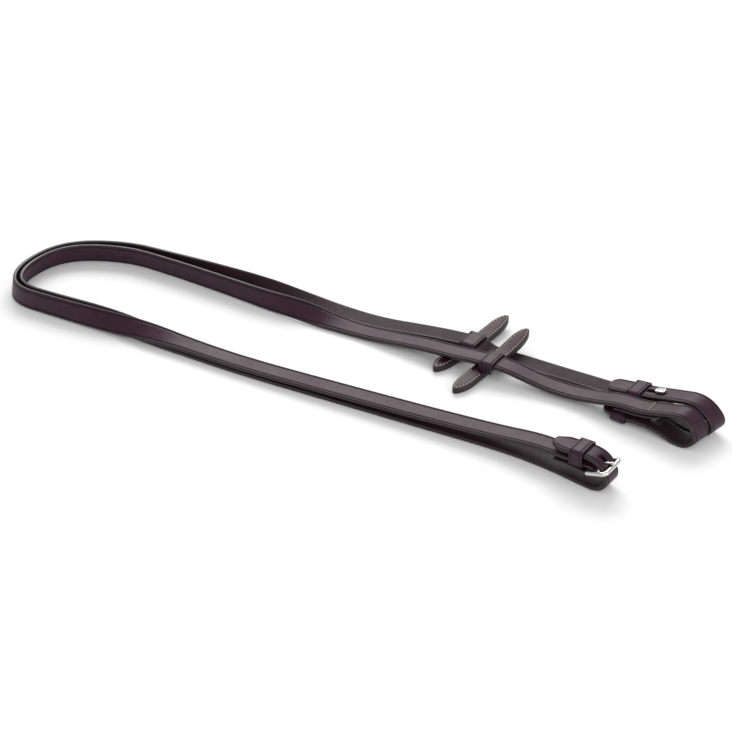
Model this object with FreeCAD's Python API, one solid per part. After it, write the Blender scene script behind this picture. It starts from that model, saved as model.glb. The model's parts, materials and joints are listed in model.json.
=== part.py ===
import FreeCAD, Part
import math
import os

# A pair of flat leather reins, laid out folded.  Millimetres, +Z up, +X towards the bit ends,
# origin on the floor in the middle of the laid-out reins.

V = FreeCAD.Vector
UP = V(0, 0, 1)

# ---- driving dimensions -------------------------------------------------------------------
STRAP_WIDTH = 19.0
STRAP_THICKNESS = 3.4
FOLD_THICKNESS = 2.2          # strap end pared thin where it folds round the buckle bar
RETURN_THICKNESS = 1.8        # pared end lying back under the strap

TANGENT_SHARE = 0.45          # part of a run taken up by each bend
BEND_STEP = math.radians(12)  # largest turn between two sections of a bend
RUN_STEPS = 2                 # sections along a straight run

LINING_WIDTH = 17.5
LINING_THICKNESS = 2.2
LINING_GAP = 1.2              # room for the stud's plate between strap and lining

KEEPER_WALL = 1.6
KEEPER_LENGTH = 13.0
BIT_KEEPER_INNER = 4.7        # height inside the keeper at the bit end
KEEPER_SIDE_PLAY = 0.4
KEEPER_CORNER = 2.4

STUD_PLATE = V(8.0, 9.0, 0.7)
STUD_PLATE_GAP = 0.15
STUD_NECK = V(3.6, 3.2, 0.0)
STUD_HEAD = V(10.0, 6.8, 2.4)
STUD_HEAD_GAP = 0.5
STUD_CORNER = 2.8
STUD_RIM = 0.8
STUD_SHOULDER = V(10.0, 6.0, 1.2)
STUD_SHOULDER_SHIFT = 3.4     # the shoulder reaches the other way from the head
STUD_HOLE_PLAY = 0.5          # round the neck where it passes through the lining
BILLET_SLOT = V(13.0, 4.6, 12.0)
LINING_STITCHES = 4

BUCKLE_PIVOT = V(264.2, -81.0, 16.75)
BUCKLE_HEADING = -7.0
BUCKLE_PITCH = 18.5
BAR_RADIUS = 1.9
FRAME_REACH = 16.3            # hinge bar to outer bar, centre to centre
FRAME_INNER_WIDTH = 20.6
CORNER_RADIUS = 3.6
TONGUE_RADIUS = 1.35
TONGUE_EYE_WALL = 1.3
PIVOT_CLEARANCE = 0.06
CHAPE_SLOT = V(13.0, 4.2, 13.0)          # hole in the fold for the tongue's eye
CHAPE_SLOT_CENTRE = V(1.5, 0.0, 0.5)     # from the hinge bar
TONGUE_HOLE = V(11.4, 4.2, 11.0)         # hole in the upper strap for the tongue
TONGUE_HOLE_CENTRE = V(8.5, 0.0, 8.2)

CENTRE_KEEPER_WALL = 1.3
CENTRE_KEEPER_SIDE_PLAY = 0.7
CENTRE_KEEPER_LENGTH = 12.0
CENTRE_KEEPER_PLACE = 37.55
CENTRE_KEEPER_PITCH = 3.5
CENTRE_KEEPER_BOTTOM = 17.65             # inside, above the floor
CENTRE_KEEPER_HEIGHT = 12.6              # inside
CHAPE_STITCH_PLACES = (43.35, 43.65, 43.95)

STOP_LAYER = 2.8
STOP_SKEW = 13.5              # how far the tab is turned from square to the strap, degrees
TAB_SHAPE = [                 # distance from the middle, half width; the same at both ends
    (51.5, 1.2),
    (50.2, 2.9),
    (46.5, 4.7),
    (41.0, 6.2),
    (33.0, 7.0),
]
BAND_WALL = 1.8
BAND_CORNER = 3.4
BAND_SIDE_PLAY = 0.8
BAND_PLAY = 0.6
BAND_STITCH_GAP = 3.6         # room between the band and the nearest stitch
BELOW = 30.0                  # reach of the tools that trim the band's feet

STITCH = V(2.4, 0.7, 0.35)
STITCH_PITCH = 3.6
STITCH_INSET = 2.4
STITCH_LIFT = 0.1

# ---- routes: x, y, z, then the direction across the strap ----------------------------------
RIGHT_ROUTE = [
    (234.2, 15.4, 7.4, 0.13, 1.0, 0.0),
    (251.2, 13.2, 4.2, 0.13, 1.0, 0.0),
    (268.2, 11.0, 7.4, 0.13, 1.0, 0.0),
    (288.2, 8.3, 6.4, 0.15, 1.0, 0.0),
    (302.7, 5.5, 1.75, 0.22, 1.0, 0.0),
    (315.4, 5.0, 1.88, 0.28, 1.0, 0.0),
    (324.0, 4.6, 12.0, 0.33, 1.0, 0.0),
    (310.2, 7.0, 29.2, 0.26, 1.0, 0.0),
    (288.2, 9.9, 22.5, 0.14, 1.0, 0.0),
    (268.2, 11.9, 16.8, 0.13, 1.0, 0.0),
    (247.2, 14.5, 15.8, 0.13, 1.0, 0.0),
    (228.2, 16.6, 10.2, 0.08, 1.0, 0.0),
    (203.2, 17.7, 6.2, 0.05, 1.0, 0.0),
    (181.2, 18.1, 6.6, 0.0, 1.0, 0.0),
    (161.2, 18.3, 9.6, 0.0, 1.0, 0.0),
    (141.2, 18.6, 13.3, 0.0, 1.0, 0.0),
    (115.2, 18.9, 13.0, 0.0, 1.0, 0.0),
    (89.2, 19.1, 10.4, 0.0, 1.0, 0.0),
    (63.2, 18.9, 9.6, 0.0, 1.0, 0.0),
    (37.2, 19.2, 6.8, 0.0, 1.0, 0.0),
    (5.2, 19.3, 3.0, 0.0, 1.0, 0.03),
    (-30.8, 18.6, 3.4, 0.0, 1.0, 0.15),
    (-64.8, 15.6, 9.3, 0.0, 0.6, 0.8),
    (-99.8, 14.6, 9.9, 0.0, 0.15, 1.0),
    (-154.8, 18.6, 9.8, 0.0, 0.0, 1.0),
    (-214.8, 21.1, 9.8, 0.0, -0.1, 1.0),
    (-262.8, 20.6, 9.8, 0.05, -0.15, 1.0),
    (-315.8, -4.9, 9.8, 0.18, -0.08, 1.0),
    (-326.8, -53.9, 9.8, 0.20, 0.03, 1.0),
    (-309.8, -84.4, 9.8, 0.10, 0.15, 1.0),
    (-264.8, -83.9, 9.6, 0.0, 0.2, 1.0),
    (-209.8, -81.5, 9.8, 0.0, 0.5, 0.9),
    (-164.8, -80.1, 5.5, 0.0, 0.9, 0.40),
    (-124.8, -79.9, 2.1, 0.0, 1.0, 0.02),
    (-64.8, -80.9, 1.9, 0.0, 1.0, 0.0),
    (25.2, -77.5, 2.0, 0.0, 1.0, 0.0),
    (115.2, -74.1, 1.9, 0.0, 1.0, 0.0),
    (185.2, -71.3, 2.0, 0.0, 1.0, 0.0),
    (227.2, -74.9, 1.9, 0.07, 1.0, 0.0),
    (253.2, -80.3, 2.0, 0.12, 1.0, 0.0),
    (273.5, -83.4, 1.75, 0.14, 1.0, 0.0),
    (280.9, -83.2, 11.5, 0.14, 1.0, 0.0),
    (272.6, -81.6, 24.8, 0.13, 1.0, 0.0),
    (260.2, -80.0, 28.4, 0.12, 1.0, 0.0),
    (242.2, -78.0, 26.2, 0.12, 1.0, 0.0),
    (226.7, -76.4, 25.4, 0.12, 1.0, 0.0),
]

LEFT_ROUTE = [
    (228.2, 39.3, 10.5, 0.13, 1.0, 0.0),
    (246.2, 37.1, 14.2, 0.13, 1.0, 0.0),
    (265.2, 34.5, 17.0, 0.13, 1.0, 0.0),
    (287.2, 30.8, 23.5, 0.15, 1.0, 0.0),
    (312.7, 26.8, 30.4, 0.25, 1.0, 0.0),
    (332.1, 23.8, 13.6, 0.33, 1.0, 0.0),
    (321.7, 25.0, 1.8, 0.27, 1.0, 0.0),
    (295.2, 29.9, 3.4, 0.15, 1.0, 0.0),
    (265.2, 34.4, 6.6, 0.13, 1.0, 0.0),
    (237.2, 40.0, 5.4, 0.12, 1.0, 0.0),
    (205.2, 44.3, 2.4, 0.05, 1.0, 0.0),
    (171.2, 45.3, 1.9, 0.0, 1.0, 0.0),
    (139.2, 45.9, 2.0, 0.0, 1.0, 0.0),
    (114.2, 45.3, 1.9, 0.0, 1.0, 0.0),
    (103.2, 44.5, 8.9, 0.0, 1.0, 0.0),
    (77.2, 42.9, 8.8, 0.0, 1.0, 0.0),
    (45.2, 41.0, 6.6, 0.0, 1.0, 0.0),
    (5.2, 39.7, 1.9, 0.0, 1.0, 0.0),
    (-34.8, 38.5, 2.5, 0.0, 1.0, 0.03),
    (-74.8, 34.9, 6.0, 0.0, 0.9, 0.4),
    (-114.8, 33.1, 9.6, 0.0, 0.6, 0.8),
    (-164.8, 31.6, 10.2, 0.0, 0.3, 1.0),
    (-214.8, 30.9, 9.8, 0.0, 0.0, 1.0),
    (-266.8, 28.6, 9.8, 0.05, -0.15, 1.0),
    (-321.3, -0.9, 9.8, 0.18, -0.08, 1.0),
    (-332.8, -55.9, 9.8, 0.20, 0.03, 1.0),
    (-312.8, -90.2, 9.8, 0.10, 0.15, 1.0),
    (-264.8, -89.4, 9.8, 0.0, 0.2, 1.0),
    (-209.8, -86.9, 9.9, 0.0, 0.5, 0.9),
    (-164.8, -82.2, 9.3, 0.0, 0.9, 0.40),
    (-124.8, -79.9, 6.4, 0.0, 1.0, 0.02),
    (-64.8, -80.9, 6.0, 0.0, 1.0, 0.0),
    (25.2, -77.5, 7.6, 0.0, 1.0, 0.0),
    (115.2, -74.1, 9.7, 0.0, 1.0, 0.0),
    (175.2, -71.7, 12.0, 0.0, 1.0, 0.0),
    (207.2, -72.9, 16.9, 0.05, 1.0, 0.0),
    (231.2, -76.1, 18.6, 0.12, 1.0, 0.0),
    (245.7, -78.3, 19.6, 0.12, 1.0, 0.0),
    (257.2, -80.3, 19.8, 0.12, 1.0, 0.0),
    (266.0, -81.3, 20.55, 0.12, 1.0, 0.0),
    (268.4, -81.6, 16.75, 0.12, 1.0, 0.0),
    (266.0, -81.3, 12.95, 0.12, 1.0, 0.0),
    (257.2, -80.3, 14.2, 0.12, 1.0, 0.0),
    (244.7, -78.5, 15.0, 0.12, 1.0, 0.0),
    (231.2, -76.7, 14.0, 0.12, 1.0, 0.0),
]

# thickness by place along the route; full thickness where none is given
LEFT_THICKNESS = {
    38: 2.8,
    39: FOLD_THICKNESS,
    40: FOLD_THICKNESS,
    41: FOLD_THICKNESS,
    42: RETURN_THICKNESS,
    43: RETURN_THICKNESS,
    44: RETURN_THICKNESS,
}


class Strap:
    """A flat strap swept along straight runs joined by tangent arcs."""

    def __init__(self, route, thickness_at=None):
        self.points = [V(*row[:3]) for row in route]
        self.across = [V(*row[3:]).normalize() for row in route]
        given = thickness_at or {}
        self.thickness = [given.get(i, STRAP_THICKNESS) for i in range(len(route))]
        self.radii = []
        self.stations = self._stations()

    def _blend(self, values, place):
        low = max(0, min(int(math.floor(place)), len(values) - 2))
        share = min(max(place - low, 0.0), 1.0)
        return values[low] * (1.0 - share) + values[low + 1] * share

    def _station(self, place, position, tangent):
        across = self._blend(self.across, place)
        across = (across - tangent * across.dot(tangent)).normalize()
        return {
            "place": place,
            "position": position,
            "tangent": tangent,
            "across": across,
            "normal": across.cross(tangent).normalize(),
            "thickness": self._blend(self.thickness, place),
        }

    def _stations(self):
        pts = self.points
        first = (pts[1] - pts[0]).normalize()
        result = [self._station(0.0, pts[0], first)]
        last_place, last_end = 0.0, pts[0]
        for i in range(1, len(pts) - 1):
            before = pts[i] - pts[i - 1]
            after = pts[i + 1] - pts[i]
            reach = TANGENT_SHARE * min(before.Length, after.Length)
            ahead, beyond = V(before).normalize(), V(after).normalize()
            turn = ahead.getAngle(beyond)
            radius = reach / math.tan(turn / 2.0)
            self.radii.append(radius)
            start = pts[i] - ahead * reach
            place_in = i - reach / before.Length
            place_out = i + reach / after.Length
            for k in range(1, RUN_STEPS):
                share = k / RUN_STEPS
                result.append(self._station(
                    last_place + (place_in - last_place) * share,
                    last_end + (start - last_end) * share, ahead))
            side = (beyond - ahead * beyond.dot(ahead)).normalize()
            steps = max(2, int(math.ceil(turn / BEND_STEP)))
            for k in range(steps + 1):
                angle = turn * k / steps
                position = (start + ahead * (radius * math.sin(angle))
                            + side * (radius * (1.0 - math.cos(angle))))
                tangent = ahead * math.cos(angle) + side * math.sin(angle)
                place = place_in + (place_out - place_in) * k / steps
                result.append(self._station(place, position, tangent))
            last_place, last_end = place_out, pts[i] + beyond * reach
        end = (pts[-1] - pts[-2]).normalize()
        result.append(self._station(len(pts) - 1.0, pts[-1], end))
        return result

    def length(self):
        pairs = zip(self.stations, self.stations[1:])
        return sum((b["position"] - a["position"]).Length for a, b in pairs)

    def at(self, place):
        """The station at any place along the route."""
        pairs = zip(self.stations, self.stations[1:])
        for a, b in pairs:
            if a["place"] <= place <= b["place"]:
                break
        span = b["place"] - a["place"]
        share = (place - a["place"]) / span if span > 0 else 0.0
        position = a["position"] * (1.0 - share) + b["position"] * share
        tangent = (a["tangent"] * (1.0 - share) + b["tangent"] * share).normalize()
        return self._station(place, position, tangent)

    def layer(self, start, stop, width, thickness, lift):
        """A strip following the strap between two places, lifted along its normal."""
        inside = [s for s in self.stations if start < s["place"] < stop]
        chosen = [self.at(start)] + inside + [self.at(stop)]
        return loft([section(s, width, thickness or s["thickness"], lift) for s in chosen])

    def solid(self):
        return self.layer(0.0, len(self.points) - 1.0, STRAP_WIDTH, None, 0.0)


def section(station, width, thickness, lift):
    middle = station["position"] + station["normal"] * lift
    half_across = station["across"] * (width / 2.0)
    half_up = station["normal"] * (thickness / 2.0)
    corners = [
        middle - half_across - half_up,
        middle + half_across - half_up,
        middle + half_across + half_up,
        middle - half_across + half_up,
    ]
    return Part.makePolygon(corners + corners[:1])


def loft(wires):
    return Part.makeLoft(wires, True, True)


def placement(origin, forward, across):
    """Local +X along forward, +Y along across."""
    y_axis = V(across).normalize()
    x_axis = (forward - y_axis * forward.dot(y_axis)).normalize()
    z_axis = x_axis.cross(y_axis)
    matrix = FreeCAD.Matrix(
        x_axis.x, y_axis.x, z_axis.x, origin.x,
        x_axis.y, y_axis.y, z_axis.y, origin.y,
        x_axis.z, y_axis.z, z_axis.z, origin.z,
        0, 0, 0, 1)
    return FreeCAD.Placement(matrix)


def heading_vector(heading, pitch=0.0):
    a, b = math.radians(heading), math.radians(pitch)
    return V(math.cos(a) * math.cos(b), math.sin(a) * math.cos(b), math.sin(b))


def level_across(forward):
    return UP.cross(forward).normalize()


def centred_box(size, centre=V(0, 0, 0)):
    return Part.makeBox(size.x, size.y, size.z, centre - size * 0.5)


def placed(shape, place):
    moved = shape.copy()
    moved.Placement = place.multiply(moved.Placement)
    return moved


def ring(inside, wall, corner):
    """A flat band bent into a closed rectangular ring, its opening along X."""
    outer = centred_box(inside + V(0, 2 * wall, 2 * wall))
    lengthwise = [e for e in outer.Edges if abs(e.tangentAt(e.FirstParameter).x) > 0.9]
    outer = outer.makeFillet(corner, lengthwise)
    return outer.cut(centred_box(inside + V(2, 0, 0)))


def stitch_row(points, tangents, normals):
    """Threads lying on a surface, one for each point."""
    threads = []
    for point, tangent, normal in zip(points, tangents, normals):
        middle = point + normal * (STITCH_LIFT + STITCH.z / 2.0)
        place = placement(middle, tangent, normal.cross(tangent))
        threads.append(placed(centred_box(STITCH), place))
    return threads


def save(name, shape):
    if not shape.isValid():
        raise ValueError(name + " is not a valid shape")
    shape.exportStep("parts/" + name + ".step")
    box = shape.BoundBox
    print("%-26s solids %3d  volume %9.1f  z %.2f to %.2f" % (
        name, len(shape.Solids), shape.Volume, box.ZMin, box.ZMax))


# ---- straps ---------------------------------------------------------------------------------
def billet_slot(strap, place):
    station = strap.at(place)
    spot = placement(station["position"], station["tangent"], station["across"])
    return placed(centred_box(BILLET_SLOT), spot)


def build_straps():
    right = Strap(RIGHT_ROUTE)
    left = Strap(LEFT_ROUTE, LEFT_THICKNESS)
    for name, strap in (("right", right), ("left", left)):
        print("%s strap: length %.1f, tightest bends %s" % (
            name, strap.length(), sorted(round(r, 1) for r in strap.radii)[:6]))
    return left, right


# ---- bit ends -------------------------------------------------------------------------------
# side: +1 where the inside of the loop lies along the strap's normal, -1 where against it
# lead: +1 where the stud's head points to the loop, -1 where it points to the billet's tip
BIT_ENDS = {
    "right": {"side": -1, "lining": (8.10, 10.15), "stud": 8.44, "head": 2.52, "slot": 2.66,
              "keeper": 1.00, "stitches": 8.62, "lead": -1},
    "left": {"side": 1, "lining": (7.35, 8.08), "stud": 7.79, "head": 2.36, "slot": 2.24,
             "keeper": 1.49, "stitches": 7.75, "lead": 1},
}


def lining_lift(side):
    return side * (STRAP_THICKNESS / 2.0 + LINING_GAP + LINING_THICKNESS / 2.0)


def stud_head():
    """A flat head with rounded corners and a rounded rim, centred on the origin."""
    head = centred_box(STUD_HEAD)
    upright = [e for e in head.Edges if abs(e.tangentAt(e.FirstParameter).z) > 0.9]
    head = head.makeFillet(STUD_CORNER, upright)
    level = STUD_HEAD.z / 2.0 - STITCH_LIFT
    rims = [e for e in head.Edges if e.BoundBox.ZMax < -level or e.BoundBox.ZMin > level]
    return head.makeFillet(STUD_RIM, rims)


def stud_ends(strap, end):
    """Centre of the plate, centre of the head above the billet, and their two stations."""
    base = strap.at(end["stud"])
    billet = strap.at(end["head"])
    plate_rise = STRAP_THICKNESS / 2.0 + STUD_PLATE_GAP + STUD_PLATE.z / 2.0
    plate = base["position"] + base["normal"] * (end["side"] * plate_rise)
    head_rise = billet["thickness"] / 2.0 + STUD_HEAD_GAP + STUD_HEAD.z / 2.0
    head = billet["position"] - billet["normal"] * (end["side"] * head_rise)
    return plate, head, base, billet


def stud_neck(strap, end, play=0.0):
    """The neck from the plate to the head, or with play the hole that clears it."""
    plate, head, _, billet = stud_ends(strap, end)
    axis = head - plate
    start = plate + V(axis).normalize() * (STUD_PLATE.z * 0.4)
    spot = placement((start + head) * 0.5, billet["across"].cross(axis), billet["across"])
    return placed(centred_box(V(STUD_NECK.x + 2 * play, STUD_NECK.y + 2 * play,
                                (head - start).Length + 2 * play)), spot)


def hook_stud(strap, end):
    """Plate against the strap, shoulder and neck inside the loop, head beyond the billet."""
    plate_centre, head_centre, base, billet = stud_ends(strap, end)
    plate = placed(centred_box(STUD_PLATE),
                   placement(plate_centre, base["tangent"], base["across"]))
    pointing = billet["tangent"] * end["lead"]
    head_shift = (STUD_HEAD.x - STUD_NECK.x) / 2.0
    head = placed(stud_head(), placement(head_centre + pointing * head_shift,
                                         pointing, billet["across"]))
    rise = billet["thickness"] / 2.0 + STUD_HEAD_GAP + STUD_SHOULDER.z / 2.0
    shoulder_centre = (billet["position"] + billet["normal"] * (end["side"] * rise)
                       - pointing * STUD_SHOULDER_SHIFT)
    shoulder = placed(centred_box(STUD_SHOULDER),
                      placement(shoulder_centre, pointing, billet["across"]))
    return plate.fuse([stud_neck(strap, end), head, shoulder]).removeSplitter()


def bit_keeper(strap, place):
    station = strap.at(place)
    body = ring(V(KEEPER_LENGTH, STRAP_WIDTH + 2 * KEEPER_SIDE_PLAY, BIT_KEEPER_INNER),
                KEEPER_WALL, KEEPER_CORNER)
    return placed(body, placement(station["position"], station["tangent"], station["across"]))


def lining_threads(strap, end):
    row = strap.at(end["stitches"])
    outward = row["normal"] * -end["side"]
    face = row["position"] + outward * (row["thickness"] / 2.0)
    middle = (LINING_STITCHES - 1) / 2.0
    points = [face + row["across"] * ((k - middle) * STITCH_PITCH)
              for k in range(LINING_STITCHES)]
    return stitch_row(points, [row["tangent"]] * LINING_STITCHES, [outward] * LINING_STITCHES)


def build_bit_end(name, strap, strap_solid):
    end = BIT_ENDS[name]
    lift = lining_lift(end["side"])
    lining = strap.layer(*end["lining"], LINING_WIDTH, LINING_THICKNESS, lift)
    save("billet_lining_" + name, lining.cut(stud_neck(strap, end, STUD_HOLE_PLAY)))
    save("hook_stud_" + name, hook_stud(strap, end))
    save("bit_keeper_" + name, bit_keeper(strap, end["keeper"]))
    save("lining_stitching_" + name, Part.makeCompound(lining_threads(strap, end)))
    return strap_solid.cut(billet_slot(strap, end["slot"]))


# ---- centre buckle --------------------------------------------------------------------------
def buckle_spot(pitch=BUCKLE_PITCH):
    forward = heading_vector(BUCKLE_HEADING, pitch)
    return placement(BUCKLE_PIVOT, forward, level_across(heading_vector(BUCKLE_HEADING)))


def buckle_frame():
    """A bent round wire: hinge bar across the origin, outer bar at FRAME_REACH."""
    half = FRAME_INNER_WIDTH / 2.0 + BAR_RADIUS
    hinge = Part.makeCylinder(BAR_RADIUS, 2 * half, V(0, -half, 0), V(0, 1, 0))
    r = CORNER_RADIUS
    mid = r * math.cos(math.radians(45))
    reach = FRAME_REACH
    path = Part.Wire([
        Part.makeLine(V(0, -half, 0), V(reach - r, -half, 0)),
        Part.Arc(V(reach - r, -half, 0), V(reach - r + mid, -half + r - mid, 0),
                 V(reach, -half + r, 0)).toShape(),
        Part.makeLine(V(reach, -half + r, 0), V(reach, half - r, 0)),
        Part.Arc(V(reach, half - r, 0), V(reach - r + mid, half - r + mid, 0),
                 V(reach - r, half, 0)).toShape(),
        Part.makeLine(V(reach - r, half, 0), V(0, half, 0)),
    ])
    profile = Part.Wire(Part.makeCircle(BAR_RADIUS, V(0, -half, 0), V(1, 0, 0)))
    bow = path.makePipeShell([profile], True, False)
    ends = [Part.makeSphere(BAR_RADIUS, V(0, y, 0)) for y in (-half, half)]
    return bow.fuse([hinge] + ends).removeSplitter()


def buckle_tongue():
    """An eye round the hinge bar and a pin whose tip rests on the outer bar."""
    inner = BAR_RADIUS + PIVOT_CLEARANCE
    outer = inner + TONGUE_EYE_WALL
    width = 2 * TONGUE_RADIUS
    eye = Part.makeCylinder(outer, width, V(0, -TONGUE_RADIUS, 0), V(0, 1, 0))
    start = V(0.6, 0, outer - 0.8)
    tip = V(FRAME_REACH + 1.6, 0, BAR_RADIUS + TONGUE_RADIUS + 0.12)
    pin = Part.makeCylinder(TONGUE_RADIUS, (tip - start).Length, start, tip - start)
    body = eye.fuse([pin, Part.makeSphere(TONGUE_RADIUS, tip)])
    bore = Part.makeCylinder(inner, width + 2, V(0, -TONGUE_RADIUS - 1, 0), V(0, 1, 0))
    return body.cut(bore).removeSplitter()


def centre_keeper(left):
    """A loop round the folded strap and the tip above it."""
    middle = left.at(CENTRE_KEEPER_PLACE)["position"]
    rise = CENTRE_KEEPER_BOTTOM + CENTRE_KEEPER_HEIGHT / 2.0
    forward = heading_vector(BUCKLE_HEADING, CENTRE_KEEPER_PITCH)
    width = STRAP_WIDTH + 2 * CENTRE_KEEPER_SIDE_PLAY
    inside = V(CENTRE_KEEPER_LENGTH, width, CENTRE_KEEPER_HEIGHT)
    spot = placement(V(middle.x, middle.y, rise), forward, level_across(forward))
    return placed(ring(inside, CENTRE_KEEPER_WALL, KEEPER_CORNER), spot)


def chape_threads(left):
    threads = []
    for place in CHAPE_STITCH_PLACES:
        station = left.at(place)
        face = station["position"] + station["normal"] * (station["thickness"] / 2.0)
        aside = station["across"] * (STRAP_WIDTH / 2.0 - STITCH_INSET)
        threads += stitch_row([face - aside, face + aside],
                              [station["tangent"]] * 2, [station["normal"]] * 2)
    return threads


def build_buckle(left, left_solid, right_solid):
    level = buckle_spot(0.0)
    save("buckle_frame", placed(buckle_frame(), buckle_spot()))
    save("buckle_tongue", placed(buckle_tongue(), buckle_spot()))
    save("buckle_keeper", centre_keeper(left))
    save("chape_stitching", Part.makeCompound(chape_threads(left)))
    chape_slot = placed(centred_box(CHAPE_SLOT, CHAPE_SLOT_CENTRE), level)
    tongue_hole = placed(centred_box(TONGUE_HOLE, TONGUE_HOLE_CENTRE), level)
    return left_solid.cut(chape_slot), right_solid.cut(tongue_hole)


# ---- rein stops -----------------------------------------------------------------------------
# lie: place along the tab from the front, height of its underside above the floor
STOPS = {
    "left": {
        "centre": V(93.5, 46.2, 0.0), "band": 14.28, "band_length": 14.0, "foot": 5.8,
        "lie": [(-51.5, 0.2), (8.0, 0.2), (20.0, 0.9), (32.0, 2.4), (42.0, 4.1), (51.5, 5.9)]},
    "right": {
        "centre": V(123.1, 25.0, 0.0), "band": 15.58, "band_length": 12.5, "foot": 7.0,
        "lie": [(-51.5, 0.2), (-38.0, 0.4), (-26.0, 1.4), (-15.0, 3.0), (-4.0, 4.3), (6.0, 4.7),
                (17.0, 5.1), (27.0, 6.9), (36.0, 9.2), (45.0, 11.4), (51.5, 12.8)]},
}


def between(rows, place):
    """Straight-line value at a place among (place, value) rows in rising order."""
    for (low, first), (high, second) in zip(rows, rows[1:]):
        if place <= high:
            break
    share = min(max((place - low) / (high - low), 0.0), 1.0)
    return first + (second - first) * share


def tab_widths(inset=0.0):
    """(place along the tab, half width) rows from the front tip to the back tip."""
    shrink = 1.0 - inset / TAB_SHAPE[0][0]
    back = [(y * shrink, max(w - inset, w * 0.3)) for y, w in TAB_SHAPE][::-1]
    return [(-y, w) for y, w in back[::-1]] + back


def tab_layer(lie, bottom, thickness, widths):
    """One layer of a tab along local Y, following the lie of its underside."""
    places = sorted({y for y, _ in widths} | {y for y, _ in lie})
    wires = []
    for y in places:
        half = between(widths, y)
        low = between(lie, y) + bottom
        corners = [V(-half, y, low), V(half, y, low), V(half, y, low + thickness),
                   V(-half, y, low + thickness)]
        wires.append(Part.makePolygon(corners + corners[:1]))
    return loft(wires)


def tab_stitches(lie, gap):
    """Stitches round the top of a tab, left out where the band stands."""
    widths = tab_widths(STITCH_INSET)
    rim = [V(w, y, 0) for y, w in widths] + [V(-w, y, 0) for y, w in widths[::-1]]
    outline = Part.makePolygon(rim + rim[:1])
    flat = outline.discretize(int(outline.Length / STITCH_PITCH) + 1)[:-1]
    points = [p + UP * (between(lie, p.y) + 2 * STOP_LAYER) for p in flat]
    threads = []
    for point, following in zip(points, points[1:] + points[:1]):
        if gap[0] < point.y < gap[1]:
            continue
        slope = between(lie, point.y + 1.0) - between(lie, point.y)
        normal = V(0, -slope, 1).normalize()
        threads += stitch_row([point], [following - point], [normal])
    return threads


def stop_band(stop, strap, spot):
    """An arch over the strap with both feet trimmed to the top of the tab."""
    station = strap.at(stop["band"])
    over = station["position"]
    rise = over.z + STRAP_THICKNESS / 2.0 + BAND_PLAY - stop["foot"]
    inside = V(stop["band_length"], STRAP_WIDTH + 2 * BAND_SIDE_PLAY, 2 * rise)
    upper = centred_box(V(BELOW, 2 * BELOW, 2 * BELOW), UP * BELOW)
    arch = ring(inside, BAND_WALL, BAND_CORNER).common(upper)
    forward = V(station["tangent"].x, station["tangent"].y, 0)
    arch = placed(arch, placement(V(over.x, over.y, stop["foot"]), forward, UP.cross(forward)))
    wide = [(stop["lie"][0][0], BELOW), (stop["lie"][-1][0], BELOW)]
    below = tab_layer(stop["lie"], 2 * STOP_LAYER - BELOW, BELOW, wide)
    return arch.cut(placed(below, spot))


def build_stop(name, strap):
    stop = STOPS[name]
    lie = stop["lie"]
    spot = FreeCAD.Placement(stop["centre"], FreeCAD.Rotation(UP, -STOP_SKEW))
    for layer, bottom in (("bottom", 0.0), ("top", STOP_LAYER)):
        solid = tab_layer(lie, bottom, STOP_LAYER, tab_widths())
        save("stop_%s_layer_%s" % (layer, name), placed(solid, spot))
    save("stop_band_" + name, stop_band(stop, strap, spot))
    over = strap.at(stop["band"])["position"]
    local_y = (over.y - stop["centre"].y) / math.cos(math.radians(STOP_SKEW))
    half = STRAP_WIDTH / 2.0 + BAND_SIDE_PLAY + BAND_WALL + BAND_STITCH_GAP
    threads = tab_stitches(lie, (local_y - half, local_y + half))
    save("stop_stitching_" + name, Part.makeCompound([placed(t, spot) for t in threads]))


def main():
    os.makedirs("parts", exist_ok=True)
    left, right = build_straps()
    left_solid, right_solid = left.solid(), right.solid()
    for name, strap, solid in (("left", left, left_solid), ("right", right, right_solid)):
        print("%s strap: volume %.0f, section x length %.0f" % (
            name, solid.Volume, STRAP_WIDTH * STRAP_THICKNESS * strap.length()))
    left_solid = build_bit_end("left", left, left_solid)
    right_solid = build_bit_end("right", right, right_solid)
    left_solid, right_solid = build_buckle(left, left_solid, right_solid)
    save("rein_strap_left", left_solid)
    save("rein_strap_right", right_solid)
    build_stop("left", left)
    build_stop("right", right)


main()
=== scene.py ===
import json
import math
import random

import bmesh
import bpy
import numpy as np
from mathutils import Matrix, Vector


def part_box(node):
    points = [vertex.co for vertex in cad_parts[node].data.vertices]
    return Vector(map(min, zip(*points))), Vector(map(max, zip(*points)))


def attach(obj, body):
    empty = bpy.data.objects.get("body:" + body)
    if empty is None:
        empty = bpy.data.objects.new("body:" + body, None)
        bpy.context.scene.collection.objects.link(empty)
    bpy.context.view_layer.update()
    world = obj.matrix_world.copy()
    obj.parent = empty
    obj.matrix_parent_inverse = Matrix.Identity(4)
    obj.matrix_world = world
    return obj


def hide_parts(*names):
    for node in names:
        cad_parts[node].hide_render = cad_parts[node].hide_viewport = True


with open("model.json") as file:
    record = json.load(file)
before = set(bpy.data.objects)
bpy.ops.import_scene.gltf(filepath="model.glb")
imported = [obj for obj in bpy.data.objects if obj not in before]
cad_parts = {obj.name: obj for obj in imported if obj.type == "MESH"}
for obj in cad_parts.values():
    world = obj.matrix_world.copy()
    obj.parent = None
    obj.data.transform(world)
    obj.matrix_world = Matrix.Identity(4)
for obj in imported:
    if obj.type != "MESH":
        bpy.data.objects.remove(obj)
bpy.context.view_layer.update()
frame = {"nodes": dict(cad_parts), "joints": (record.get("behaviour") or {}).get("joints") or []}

# A pair of flat leather reins, laid out folded.  Metres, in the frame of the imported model.

MM = 0.001
rng = random.Random(7)
scene = bpy.context.scene

UP = Vector((0, 0, 1))

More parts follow.
